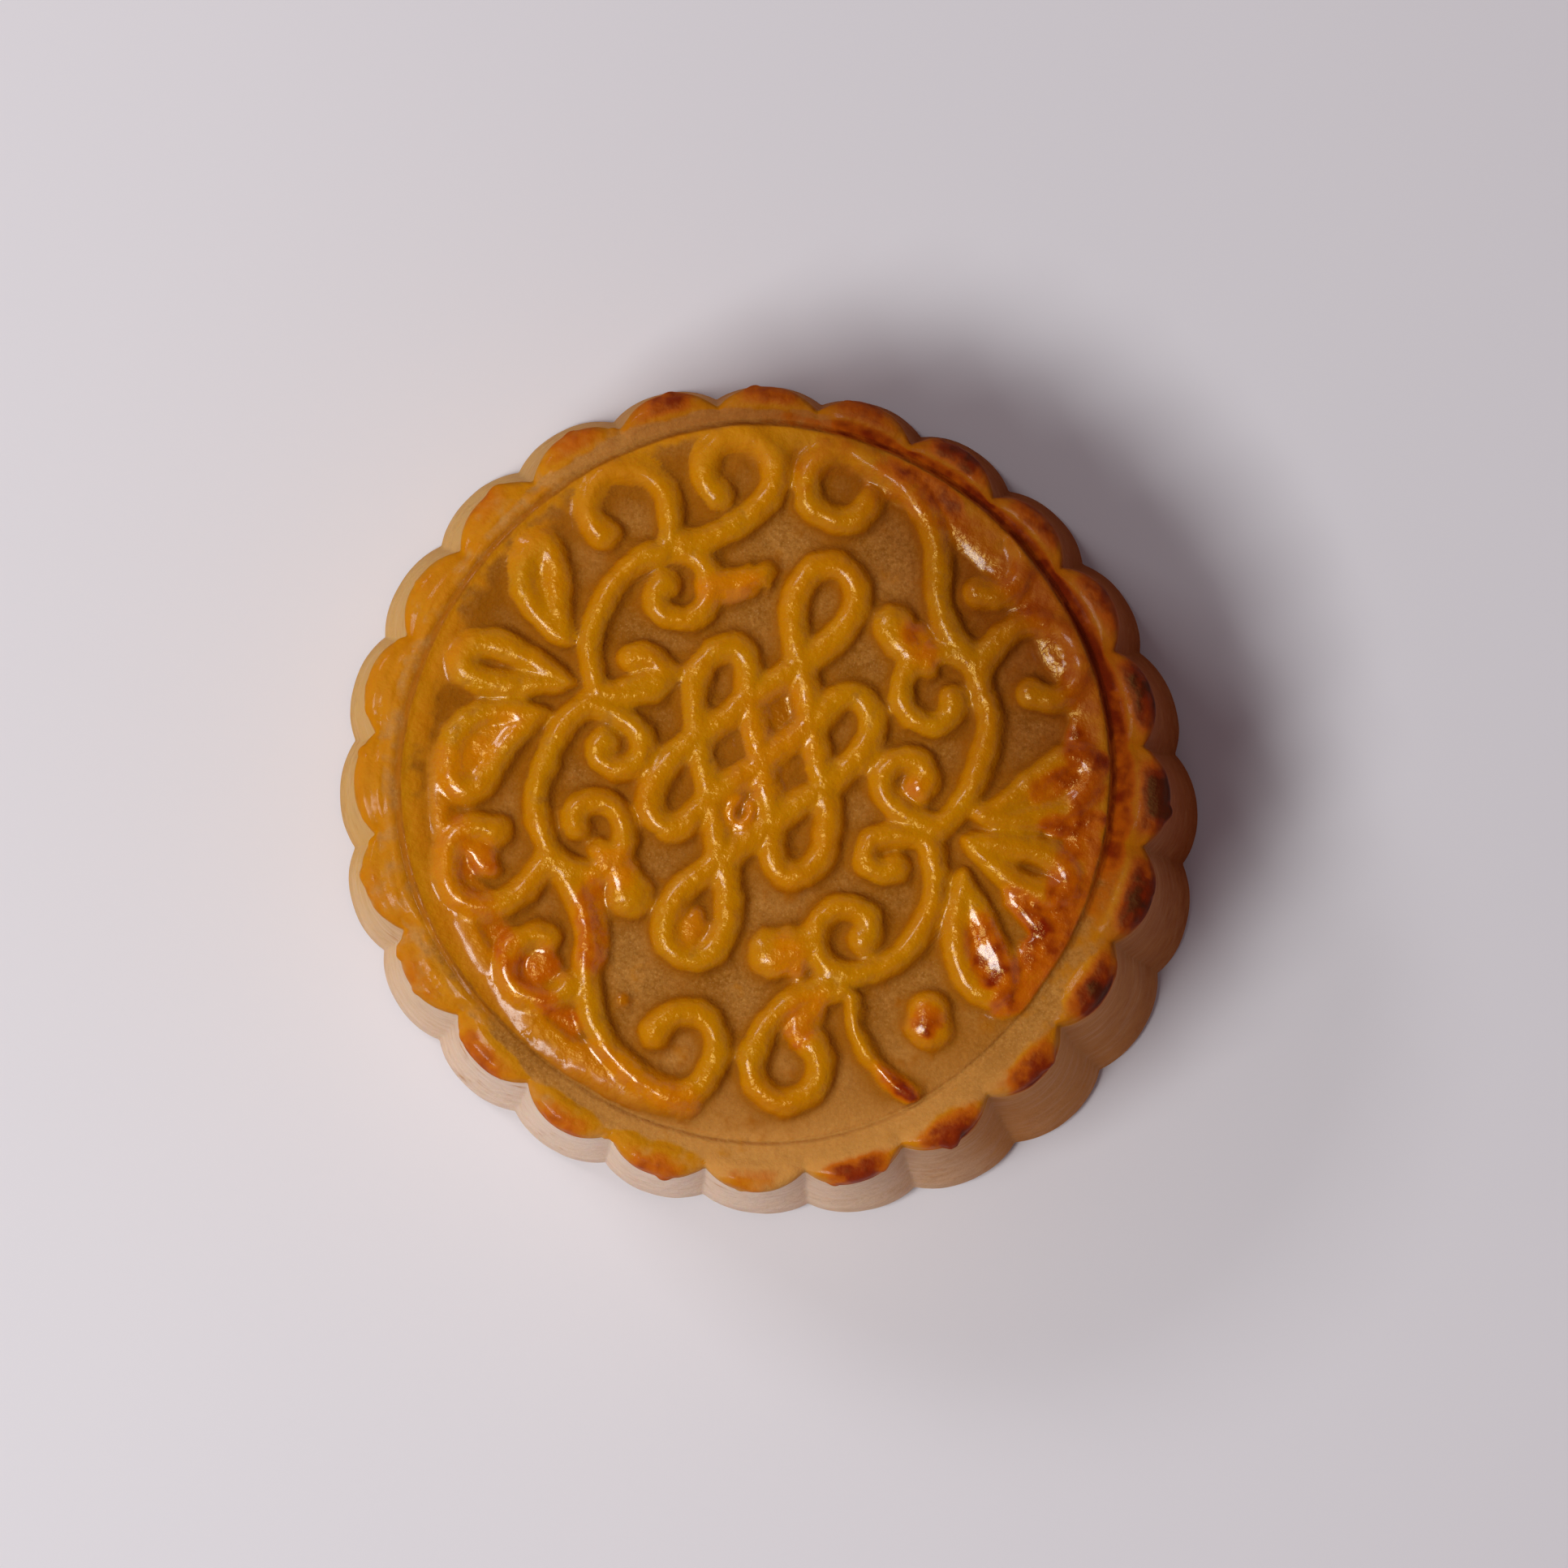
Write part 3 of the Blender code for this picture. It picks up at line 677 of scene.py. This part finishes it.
    # the ornament rises from its ground
    place = add("position")
    across = add("separate", [place], output="X")
    level = across.node.outputs["Z"]
    flat = add("vector", [place, (1.0, 1.0, 0.0)], operation="MULTIPLY")
    scale, size = form["wobble"]
    handmade = add("noise", {"Vector": flat, "Scale": scale, "Detail": 1.0})
    wobble = add("range", [handmade, 0.3, 0.7, -size * mm, size * mm])
    heights, burns = [], []
    for name, fullness in strokeFullness.items():
        height, burnt = strokeHeight(add, given[name], flat, wobble, fullness)
        heights.append(height)
        burns.append(burnt)
    ridge = add("larger", heights[:2])
    ridge = add("larger", [ridge, heights[2]])
    highest = add("larger", [ridge, heights[3]])
    capWash, capBrown, radius, missed = [add("named", {"Name": name}) for name in kept]
    onTop = add("range", [radius, *between("offTop"), 1.0, 0.0])
    ground = add("minus", [given["Height"], given["Relief"]])
    raised = add("plus", [ground, highest])
    raised = add("larger", [raised, level])
    blurred = add("blur", {"Value": raised, "Iterations": 2})
    raised = add("mix", {"Factor": onTop, "A": level, "B": blurred})
    relief = add("minus", [raised, ground])
    relief = add("over", [relief, given["Relief"]])
    relief = add("times", [relief, onTop])
    # how near a place is to a ridge; the crust paints stain and shade round the ridges' feet from this
    nearRidge = add("blur", {"Value": relief, "Iterations": 26})
    pool = add("over", [heights[3], given["Relief"]])
    pool = add("times", [pool, onTop])
    pool = add("blur", {"Value": pool, "Iterations": 3})
    burn = add("times", [burns[3], onTop])
    burn = add("blur", {"Value": burn, "Iterations": 4})
    brown = add("larger", [capBrown, burn])
    ridgeWash = add("smoothRange", [relief, 0.1, 0.7, 0.0, 1.0])
    poolWash = add("smoothRange", [pool, 0.1, 0.4, 0.0, 1.0])
    wash = add("larger", [ridgeWash, poolWash])
    noStroke = add("range", [highest, *between("strokeFoot"), 1.0, 0.0])
    missed = add("times", [missed, noStroke])
    missed = add("minus", [1.0, missed])
    wash = add("times", [wash, missed])
    wash = add("larger", [wash, capWash])
    masks = {"relief": relief, "nearRidge": nearRidge, "pool": pool, "brown": brown, "wash": wash}
    for name, value in masks.items():
        cake = add("store", {"Geometry": cake, "Name": name, "Value": value})

    # dough is never quite smooth: slow dents everywhere but on the foot, which stays flat on the table
    scale, size = form["dents"]
    dents = add("noise", {"Vector": place, "Scale": scale, "Detail": 3.0}, output="Color")
    dents = add("vector", [dents, (0.5, 0.5, 0.5)], operation="SUBTRACT")
    dents = add("vector", {0: dents, "Scale": size * mm}, operation="SCALE")
    standing = add("range", [level, *between("foot"), 0.0, 1.0])
    dents = add("vector", {0: dents, "Scale": standing}, operation="SCALE")
    scale, size = form["burrs"]
    burr = add("noise", {"Vector": place, "Scale": scale, "Detail": 0.0})
    burr = add("range", [burr, 0.64, 0.8, 0.0, size * mm])
    atEdge = add("range", [radius, *between("rimEdge"), 0.0, 1.0])
    atRim = add("range", [level, *between("burredRim"), 0.0, 1.0])
    for share in (atEdge, atRim):
        burr = add("times", [burr, share])
    outward = add("vector", [flat], operation="NORMALIZE")
    dents = add("vector", [outward, burr, dents], operation="MULTIPLY_ADD")
    lifted = add("combine", [across, across.node.outputs["Y"], raised])
    cake = add("GeometryNodeSetPosition", {"Geometry": cake, "Position": lifted, "Offset": dents})
    for name in kept:
        cake = add("GeometryNodeRemoveAttribute", {"Geometry": cake, "Name": name})

    whole = closedBelow(add, cake)
    whole = add("GeometryNodeSetMaterial", {"Geometry": whole, "Material": crust})
    out = tree.nodes.new("NodeGroupOutput")
    tree.links.new(whole, out.inputs["Geometry"])
    return tree


def pressCake(crust):
    # runs the tree once and keeps its result as a plain mesh
    shell = placed("mooncakeCrust", bpy.data.meshes.new("mooncakeCrust"))
    guides = {"Profile": profileGuide(), "Lobe Bake": lobeGuide(), **familyGuides()}
    tree = cakeTree(crust)
    sizes = {
        "Rings": len(guides["Profile"].data.vertices) - 1,
        "Lobes": form["lobes"],
        "Lobe Phase": form["lobePhase"],
        "Flute Depth": form["fluteDepth"] * mm,
        "Lobe Unevenness": form["lobeUnevenness"] * mm,
        "Height": form["height"] * mm,
        "Relief": form["relief"] * mm,
        "Seed": form["seed"],
    }
    modifier = shell.modifiers.new("press", "NODES")
    modifier.node_group = tree
    for item in tree.interface.items_tree:
        if item.in_out == "INPUT":
            modifier[item.identifier] = {**guides, **sizes}[item.name]
    graph = bpy.context.evaluated_depsgraph_get()
    mesh = bpy.data.meshes.new_from_object(shell.evaluated_get(graph))
    shell.modifiers.clear()
    shell.data = mesh
    for guide in guides.values():
        bpy.data.objects.remove(guide, do_unlink=True)
    return shell


# materials

def hexColour(code):
    # an sRGB hex value as the linear colour that the shader wants
    channels = [int(code[i:i + 2], 16) / 255 for i in (1, 3, 5)]
    linear = [c / 12.92 if c <= 0.04045 else ((c + 0.055) / 1.055) ** 2.4 for c in channels]
    return (*linear, 1.0)


sideReach = 32.0                # millimetres from the axis at which a place counts as wholly on one side
crustLooks = {
    "doughLight": "#b47a36",    # sandy ground of the ornament, dry and matt
    "doughDark": "#8c5416",
    "doughPlain": "#cf9148",    # paler where no ornament kept the heat off
    "doughCornerShade": "#945200",   # under the ridges: stained by the wash, and darkened as painted shade
    "fleck": "#c4945c",         # pale grains in the dough
    "washYellow": "#bc7900",    # one thin coat of egg wash
    "washOrange": "#ca7600",    # where it ran together
    "washDeepShade": "#9e5600",      # and where it gathered on the ridges' flanks, darkened there as painted shade
    "toasted": "#ba5600",       # caught by the oven: first orange, then red-brown, then nearly black
    "brownRed": "#801400",
    "brownDark": "#520000",
    "hotAndShadedSide": "#b07840",       # what the darkening towards one side multiplies the dough's colours by: partly the oven's hot side, partly painted shade away from the key lamp
    "hotAndShadedWash": "#b89a70",       # and those of the wash
    "hotAndShadedAngle": 52.0,           # degrees, towards that side
    "wallPaleLit": "#f2dac8",      # unwashed side: pinkish cream, painted light, where it faces the key lamp,
    "wallTan": "#d2a05c",       # tan on the brushed side
    "wallBrown": "#b4743e",     # and browner all round the rest and on the foot, in part painted shade on the sides away from the lamps
    "litPaleAngle": 268.0,         # degrees, towards the palest side, lit by the key lamp
    "baseBrown": "#8d5c2c",     # underside, from the baking tray
    "grain": 0.16,              # millimetres, size of a dough grain
    "washRipple": 0.65,         # millimetres, unevenness of the wash
    "patch": 2.6,               # millimetres, patches of colour in the wash
    "thinPatch": 3.0,           # millimetres, places where the brush left little wash on the rim
    "glossPatch": 0.8,          # millimetres, patches of shine
    "bumps": (0.08, 0.24, 0.2),         # millimetres, depth of the grain, the ripple and the shine's patches
    "glow": 1.2,                # millimetres that light wanders under the skin
    "streaks": (220.0, 220.0, 900.0),   # streaks of the wall to the metre, along X, Y and Z
}


def towardsSide(add, place, degrees):
    # how far a place lies towards one side of the cake, 1 at about the rim
    around = math.radians(degrees)
    outward = (math.cos(around) / (sideReach * mm), math.sin(around) / (sideReach * mm), 0.0)
    return add("vector", [place, outward], operation="DOT_PRODUCT", output="Value")


def eggWashedCrust():
    # Cantonese mooncake skin: golden syrup dough pressed in a mould, brushed twice with egg wash and baked.
    # The wash is glossy amber on all that stands high, the ground between stays dull and sandy.
    material = bpy.data.materials.new("eggWashedCrust")
    material.use_nodes = True
    tree = material.node_tree
    tree.nodes.clear()
    add = functools.partial(addNode, tree)
    looks = crustLooks
    paint = {name: hexColour(look) for name, look in looks.items() if isinstance(look, str)}
    place = add("ShaderNodeTexCoord", output="Object")
    value = {}
    for name in ("relief", "nearRidge", "pool", "brown", "wash"):
        value[name] = add("ShaderNodeAttribute", output="Fac", attribute_name=name)
    height = add("separate", [place], output="Z")

    noises = {}
    for name, detail, roughness in (("grain", 2.0, 0.6), ("washRipple", 2.0, 0.5), ("patch", 3.0, 0.5),
                                    ("thinPatch", 1.0, 0.5), ("glossPatch", 4.0, 0.7)):
        noises[name] = add("noise", {"Vector": place, "Scale": 1000 / looks[name] / 2, "Detail": detail,
                                     "Roughness": roughness})
    grain, ripple, patch, thin, shiny = noises.values()

    # dry dough with fine pale grains, stained and darkened with painted shade in the corners under the
    # ridges
    sandy = add("plus", [grain, patch])
    sandy = add("range", [sandy, 0.75, 1.25, 0.0, 1.0])
    dough = add("mixColour", {"Factor": sandy, "A": paint["doughDark"], "B": paint["doughLight"]})
    flecks = add("noise", {"Vector": place, "Scale": 1000 / looks["grain"], "Detail": 1.0})
    flecks = add("range", [flecks, 0.6, 0.8, 0.0, 0.35])
    plain = towardsSide(add, place, form["plainAngle"])
    plain = add("smoothRange", [plain, 0.5, 0.95, 0.0, 0.7])
    radius = add("vector", [place, (1.0, 1.0, 0.0)], operation="MULTIPLY")
    radius = add("vector", [radius], operation="LENGTH", output="Value")
    farOut = add("range", [radius, *between("caps"), 0.0, 1.0])
    pale = add("times", [farOut, 0.5])
    # painted shade and wash stain: darker dough round the feet of the ridges
    corner = add("range", [value["nearRidge"], 0.03, 0.36, 0.0, 0.85])
    offCrest = add("range", [value["relief"], 0.45, 0.85, 1.0, 0.1])
    corner = add("times", [corner, offCrest])
    for share, name in ((flecks, "fleck"), (plain, "doughPlain"), (pale, "doughPlain"),
                        (corner, "doughCornerShade")):
        dough = add("mixColour", {"Factor": share, "A": dough, "B": paint[name]})

    # unwashed side: cream above, tan towards the table, with faint level streaks; the cream is painted
    # light, on the lamp-lit side and near the top
    level = add("vector", [place, looks["streaks"]], operation="MULTIPLY")
    streak = add("noise", {"Vector": level, "Scale": 1.0, "Detail": 3.0})
    washedSide = towardsSide(add, place, form["washedAngle"])
    washedSide = add("range", [washedSide, 0.2, 0.8, 0.0, 1.0])
    # painted light: the wall is paler on the side that the key lamp lights, and more so near the top
    litPaleSide = towardsSide(add, place, looks["litPaleAngle"])
    litPaleSide = add("range", [litPaleSide, 0.55, 1.0, 0.0, 1.0])
    # in part painted shade: the wall is browner where neither lamp-lit side reaches
    tan = add("larger", [litPaleSide, washedSide])
    side = add("mixColour", {"Factor": tan, "A": paint["wallBrown"], "B": paint["wallTan"]})
    low = add("range", [height, *between("tanWall"), 1.0, 0.75])
    litPaleSide = add("times", [litPaleSide, low])
    streak = add("timesPlus", [streak, 0.4, -0.2])
    litPaleSide = add("plus", [litPaleSide, streak], use_clamp=True)
    for share, name in ((litPaleSide, "wallPaleLit"), (flecks, "fleck")):
        side = add("mixColour", {"Factor": share, "A": side, "B": paint[name]})
    onWall = add("range", [height, *between("bareWall"), 0.0, 1.0])
    onWall = add("times", [onWall, farOut])
    bare = add("mixColour", {"Factor": onWall, "A": dough, "B": side})
    under = add("range", [height, *between("underside"), 0.0, 1.0])
    bare = add("mixColour", {"Factor": under, "A": bare, "B": paint["baseBrown"]})

    # egg wash: yellow where it is thin, orange where it ran together
    thick = add("timesPlus", [value["pool"], 0.9, patch])
    thick = add("timesPlus", [farOut, 0.2, thick])
    thick = add("range", [thick, 0.35, 1.1, 0.0, 1.0])
    washed = add("mixColour", {"Factor": thick, "A": paint["washYellow"], "B": paint["washOrange"]})
    # painted shade: the ridges' flanks darker than their crests, together with the wash that gathered there
    flank = add("smoothRange", [value["relief"], 0.75, 0.2, 0.0, 0.9])
    onRelief = add("range", [value["nearRidge"], 0.0, 0.1, 0.0, 1.0])
    flank = add("times", [flank, onRelief])
    washed = add("mixColour", {"Factor": flank, "A": washed, "B": paint["washDeepShade"]})
    uneven = add("plus", [patch, ripple])
    uneven = add("minus", [uneven, 1.0])
    brushed = add("timesPlus", [farOut, -0.12, value["wash"]])
    thin = add("range", [thin, 0.34, 0.48, -0.42, 0.0])
    brushed = add("timesPlus", [thin, farOut, brushed])
    cover = add("timesPlus", [uneven, 1.3, brushed])
    cover = add("smoothRange", [cover, 0.1, 0.75, 0.0, 1.0])
    colour = add("mixColour", {"Factor": cover, "A": bare, "B": washed})

    # browning: deep orange first, then red-brown, nearly black where it is strongest
    heat = add("timesPlus", [uneven, 1.1, 1.0])
    heat = add("times", [heat, value["brown"]])
    for name, start, full in (("toasted", 0.18, 0.6), ("brownRed", 0.5, 0.95), ("brownDark", 0.95, 1.35)):
        share = add("smoothRange", [heat, start, full, 0.0, 0.92])
        colour = add("mixColour", {"Factor": share, "A": colour, "B": paint[name]})

    # darker all over towards one side: partly the oven's hot side, partly painted shade away from the key
    # lamp
    hot = towardsSide(add, place, looks["hotAndShadedAngle"])
    hotAndShadedBand = add("range", [hot, -0.1, 0.7, 0.0, 0.9])
    hot = add("range", [hot, 0.38, 0.88, 0.0, 1.0])
    onRim = add("minus", [farOut, onWall])
    hot = add("mix", {"Factor": onRim, "A": hot, "B": hotAndShadedBand})
    hot = add("timesPlus", [uneven, 0.4, hot], use_clamp=True)
    tint = add("mixColour", {"Factor": cover, "A": paint["hotAndShadedSide"], "B": paint["hotAndShadedWash"]})
    colour = add("mixColour", {"Factor": hot, "A": colour, "B": tint}, blend_type="MULTIPLY")

    # shine: most on the ornament, less on the rim and on the hot side, none on walls and flanks
    offWall = add("range", [height, *between("shinyTop"), 0.0, 1.0])
    shine = add("times", [cover, offWall])
    outer = add("range", [radius, *between("dullBorder"), 0.0, 1.0])
    duller = add("timesPlus", [outer, -0.45, 1.0])
    shine = add("times", [shine, duller])
    rough = add("timesPlus", [shine, -0.76, 1.0])
    gloss = add("range", [shiny, 0.45, 0.53, 0.0, 0.9])
    wet = add("range", [value["pool"], 0.0, 0.5, 0.35, 1.0])
    duller = add("timesPlus", [hot, -0.75, 1.0])
    for share in (shine, wet, duller):
        gloss = add("times", [gloss, share])
    dry = add("range", [cover, 0.0, 1.0, 0.7, 0.03])
    grainDepth, rippleDepth, shineDepth = [depth * mm for depth in looks["bumps"]]
    bump = add("ShaderNodeBump", {"Strength": dry, "Distance": grainDepth, "Height": grain})
    for depth, pattern in ((rippleDepth, ripple), (shineDepth, shiny)):
        bump = add("ShaderNodeBump", {"Strength": 0.8, "Distance": depth, "Height": pattern, "Normal": bump})
    shader = add("ShaderNodeBsdfPrincipled", {
        "Base Color": colour, "Roughness": rough, "Normal": bump, "IOR": 1.45,
        "Coat Weight": gloss, "Coat Roughness": 0.12, "Coat IOR": 1.48,
        "Specular IOR Level": 0.42, "Specular Tint": (1.0, 0.72, 0.2, 1.0),
        "Subsurface Weight": 0.3, "Subsurface Scale": looks["glow"] * mm,
        "Subsurface Radius": (1.0, 0.45, 0.15)})
    output = tree.nodes.new("ShaderNodeOutputMaterial")
    tree.links.new(shader, output.inputs["Surface"])
    return material


def tablePaint():
    # a pale table top with a dull, even paint
    material = bpy.data.materials.new("tablePaint")
    material.use_nodes = True
    tree = material.node_tree
    add = functools.partial(addNode, tree)
    shader = tree.nodes["Principled BSDF"]
    place = add("ShaderNodeTexCoord", output="Object")
    cloud = add("noise", {"Vector": place, "Scale": 9.0, "Detail": 3.0})
    dark, light = [hexColour(code) for code in studio["tableColours"]]
    colour = add("mixColour", {"Factor": cloud, "A": dark, "B": light})
    tree.links.new(colour, shader.inputs["Base Color"])
    shader.inputs["Roughness"].default_value = 0.6
    return material


# table, light and camera

studio = {
    "tableSize": 1.6,           # metres
    "roll": 22.0,               # degrees that the ornament is turned against the view
    "aim": (1.23, 1.11),        # millimetres, the place in the middle of the view
    "distance": 0.55,           # metres from the camera to the top of the cake
    "tilt": 2.2,                # degrees from straight down, towards the near side
    "frameWidth": 124.6,        # millimetres that the view spans at the top of the cake
    "tableColours": ("#dcd8dc", "#e2dde0"),
    "lampDistance": 0.6,        # metres
    "skyColour": (1.0, 0.80, 0.88, 1.0),
    "skyStrength": 0.31,
    "zenithStrength": 0.03,
}
# degrees in the view, anticlockwise from its right side, degrees up, metres, watts, colour
lamps = {
    "keyLight": (209.0, 64.0, 0.2, 2.3, (0.97, 1.0, 1.0)),
    "sideLight": (140.0, 48.0, 0.14, 0.6, (0.96, 0.97, 1.0)),
}


def viewDirection(turn, rise):
    # a direction given as the view shows it, in the cake's frame
    around = math.radians(turn + studio["roll"])
    up = math.radians(rise)
    return Vector((math.cos(around) * math.cos(up), math.sin(around) * math.cos(up), math.sin(up)))


def addTable():
    half = studio["tableSize"] / 2
    mesh = bpy.data.meshes.new("table")
    corners = [(-half, -half, 0), (half, -half, 0), (half, half, 0), (-half, half, 0)]
    mesh.from_pydata(corners, [], [(0, 1, 2, 3)])
    table = placed("table", mesh)
    mesh.materials.append(tablePaint())


def addLamp(name, turn, rise, size, power, colour):
    lamp = bpy.data.lights.new(name, "AREA")
    lamp.shape = "SQUARE"
    lamp.size = size
    lamp.energy = power
    lamp.color = colour
    holder = placed(name, lamp)
    towards = viewDirection(turn, rise)
    holder.location = towards * studio["lampDistance"]
    holder.rotation_euler = towards.to_track_quat("Z", "Y").to_euler()


def addSky():
    world = bpy.data.worlds.new("studio")
    bpy.context.scene.world = world
    world.use_nodes = True
    tree = world.node_tree
    background = tree.nodes["Background"]
    background.inputs["Color"].default_value = studio["skyColour"]
    add = functools.partial(addNode, tree)
    # dim overhead, so that the glossy wash mirrors only the lamps
    direction = add("ShaderNodeTexCoord", output="Generated")
    rise = add("separate", [direction], output="Z")
    strength = add("range", [rise, 0.6, 0.85, studio["skyStrength"], studio["zenithStrength"]])
    tree.links.new(strength, background.inputs["Strength"])


def addCamera():
    data = bpy.data.cameras.new("camera")
    data.sensor_width = 36.0
    data.lens = data.sensor_width * studio["distance"] / (studio["frameWidth"] * mm)
    data.clip_start = 0.01
    camera = placed("camera", data)
    aim = Vector((studio["aim"][0] * mm, studio["aim"][1] * mm, form["height"] * mm))
    back = viewDirection(270.0, 90.0 - studio["tilt"])
    camera.location = aim + back * studio["distance"]
    right = viewDirection(0.0, 0.0)
    camera.rotation_euler = Matrix((right, back.cross(right), back)).transposed().to_euler()
    bpy.context.scene.camera = camera


print("pressing the cake")
mooncake = pressCake(eggWashedCrust())
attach(mooncake, "root")
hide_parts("mooncake")
faces = mooncake.data.polygons
print("faces:", len(faces), "triangles:", sum(len(face.vertices) - 2 for face in faces))

print("table, light and camera")
addTable()
for name, lamp in lamps.items():
    addLamp(name, *lamp)
addSky()
addCamera()
bpy.context.scene.view_settings.view_transform = "Standard"
